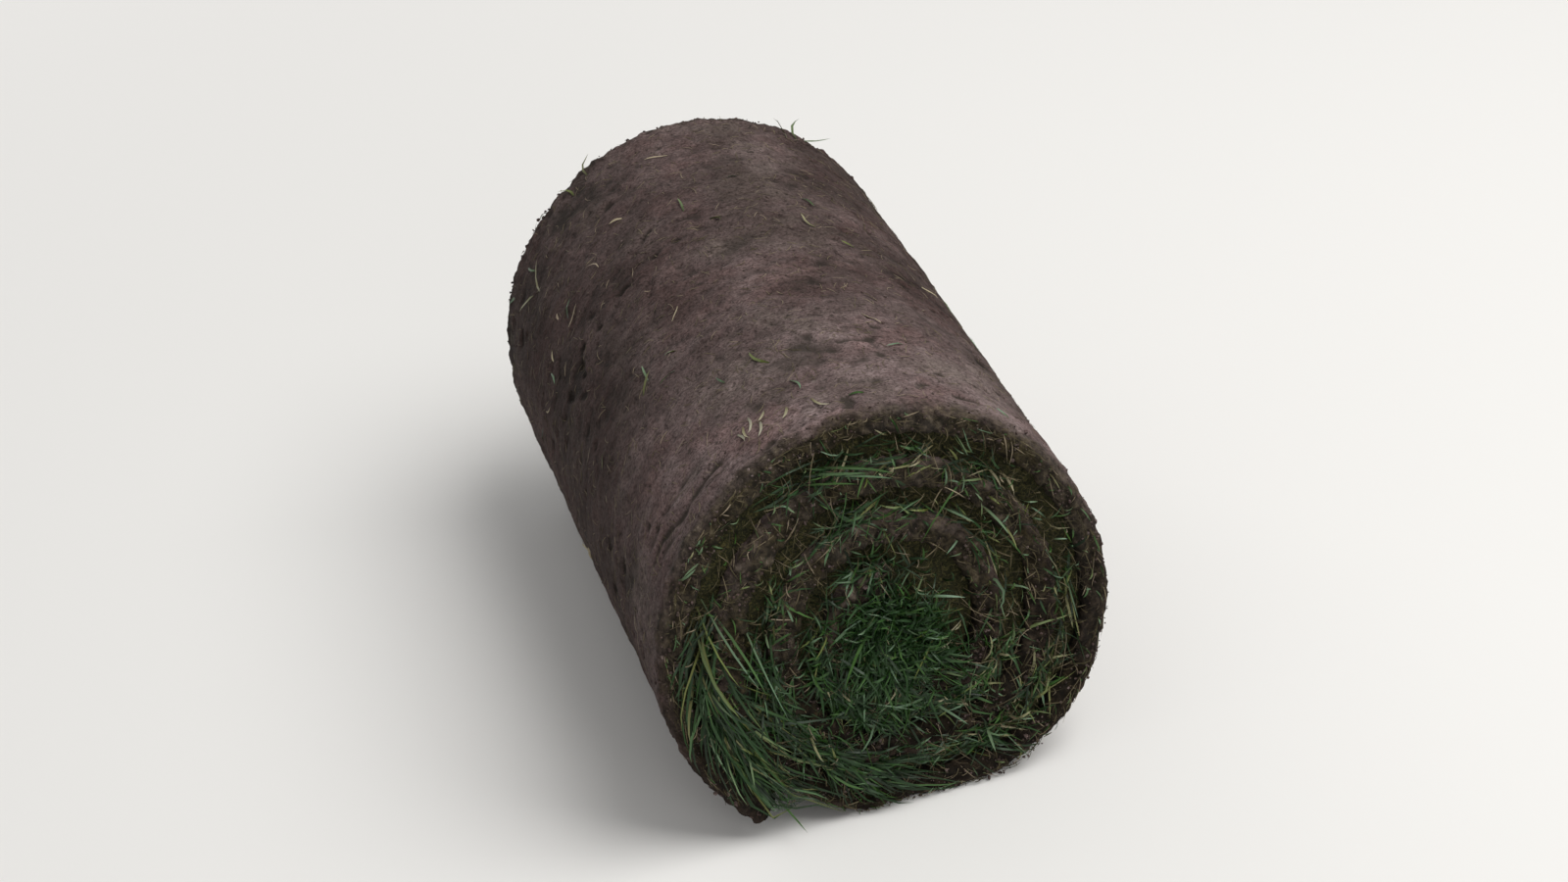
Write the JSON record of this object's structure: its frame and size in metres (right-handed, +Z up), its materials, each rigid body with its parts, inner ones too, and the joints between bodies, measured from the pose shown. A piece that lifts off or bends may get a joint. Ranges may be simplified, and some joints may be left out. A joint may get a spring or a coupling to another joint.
{
  "type": "roll of turf",
  "caption": "Rolled strip of turf, soil outward and grass inward, lying on its side on a foot pressed level by its own weight; the spiral of soil and grass shows on both ends.",
  "frame": {"origin": "On the floor under the middle of the roll: the centre of the bottom of its bounding box.", "axes": "+Y along the roll, away from the end that the picture shows; +X to the right seen from that end; +Z up."},
  "size_m": [0.259, 0.432, 0.2355],
  "materials": {
    "soil": "matte",
    "grass": "matte"
  },
  "bodies": {
    "root": {"turf_roll": "soil"}
  },
  "joints": []
}
